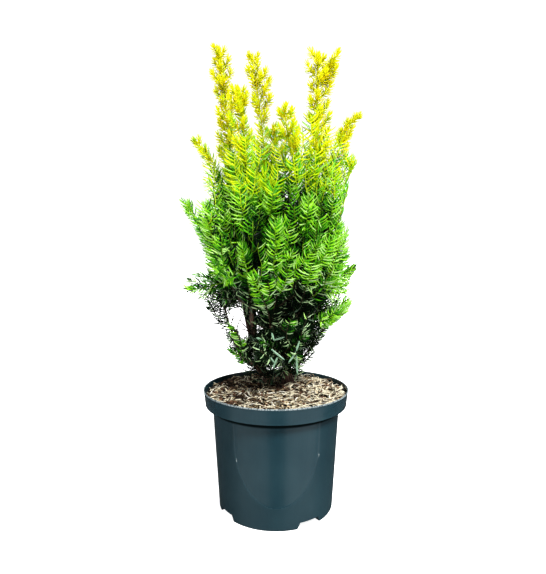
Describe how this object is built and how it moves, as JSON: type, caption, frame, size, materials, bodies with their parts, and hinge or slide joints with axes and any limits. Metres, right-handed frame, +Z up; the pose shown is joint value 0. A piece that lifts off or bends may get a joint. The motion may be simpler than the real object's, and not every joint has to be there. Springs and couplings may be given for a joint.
{
  "type": "english yew in a nursery pot",
  "caption": "Young upright golden yew with feathery needled shoots rising from two short stems in a round plastic nursery pot of bark mix.",
  "frame": {"origin": "centre of the flat underside of the pot", "axes": "+Z up along the pot's axis, +X to the right and -Y towards the viewer who faces the plant's front"},
  "size_m": [0.2458, 0.2047, 0.5998],
  "materials": {
    "pot_plastic": "dark blue-grey moulded polypropylene, satin with a soft gloss",
    "potting_mix": "loose wood fibre, straw and bark chips over dark crumbs",
    "bark": "thin flaking brown-red bark",
    "foliage": "flat evergreen needles, golden at the tips and dark green inside"
  },
  "bodies": {
    "root": {"pot": "pot_plastic", "potting_mix": "potting_mix", "trunk": "bark", "left_stem": "bark", "bough_left_edge": "bark", "bough_left_skirt": "bark", "bough_left_low": "bark", "bough_left_front": "bark", "bough_left_back": "bark", "bough_middle": "bark", "bough_front": "bark", "bough_front_right": "bark", "bough_front_skirt": "bark", "bough_right": "bark", "bough_right_low": "bark", "bough_right_skirt": "bark", "bough_back": "bark", "bough_back_right": "bark", "bough_back_skirt": "bark", "leader_left": "foliage", "shoot_left_crook": "foliage", "shoot_left_inner": "foliage", "leader_left_front": "foliage", "shoot_left_face": "foliage", "leader_middle": "foliage", "shoot_middle_back": "foliage", "shoot_middle_face": "foliage", "leader_right": "foliage", "shoot_middle": "foliage", "shoot_right_face": "foliage", "shoot_right_crook": "foliage", "shoot_right_edge": "foliage", "shoot_right_front": "foliage", "shoot_right_side": "foliage", "shoot_right_wing": "foliage", "shoot_front_right": "foliage", "shoot_front": "foliage", "shoot_front_left": "foliage", "shoot_front_high": "foliage", "shoot_left_wing": "foliage", "shoot_left_low_face": "foliage", "shoot_left_rise": "foliage", "shoot_left_edge": "foliage", "shoot_left_skirt": "foliage", "shoot_front_skirt": "foliage", "shoot_front_skirt_right": "foliage", "shoot_right_skirt": "foliage", "shoot_right_low": "foliage", "shoot_back_high": "foliage", "shoot_back": "foliage", "shoot_back_low": "foliage", "shoot_back_left_high": "foliage", "shoot_back_left": "foliage", "shoot_back_left_low": "foliage", "shoot_back_right_high": "foliage", "shoot_back_right": "foliage", "shoot_back_right_low": "foliage", "shoot_back_skirt": "foliage"}
  },
  "joints": []
}
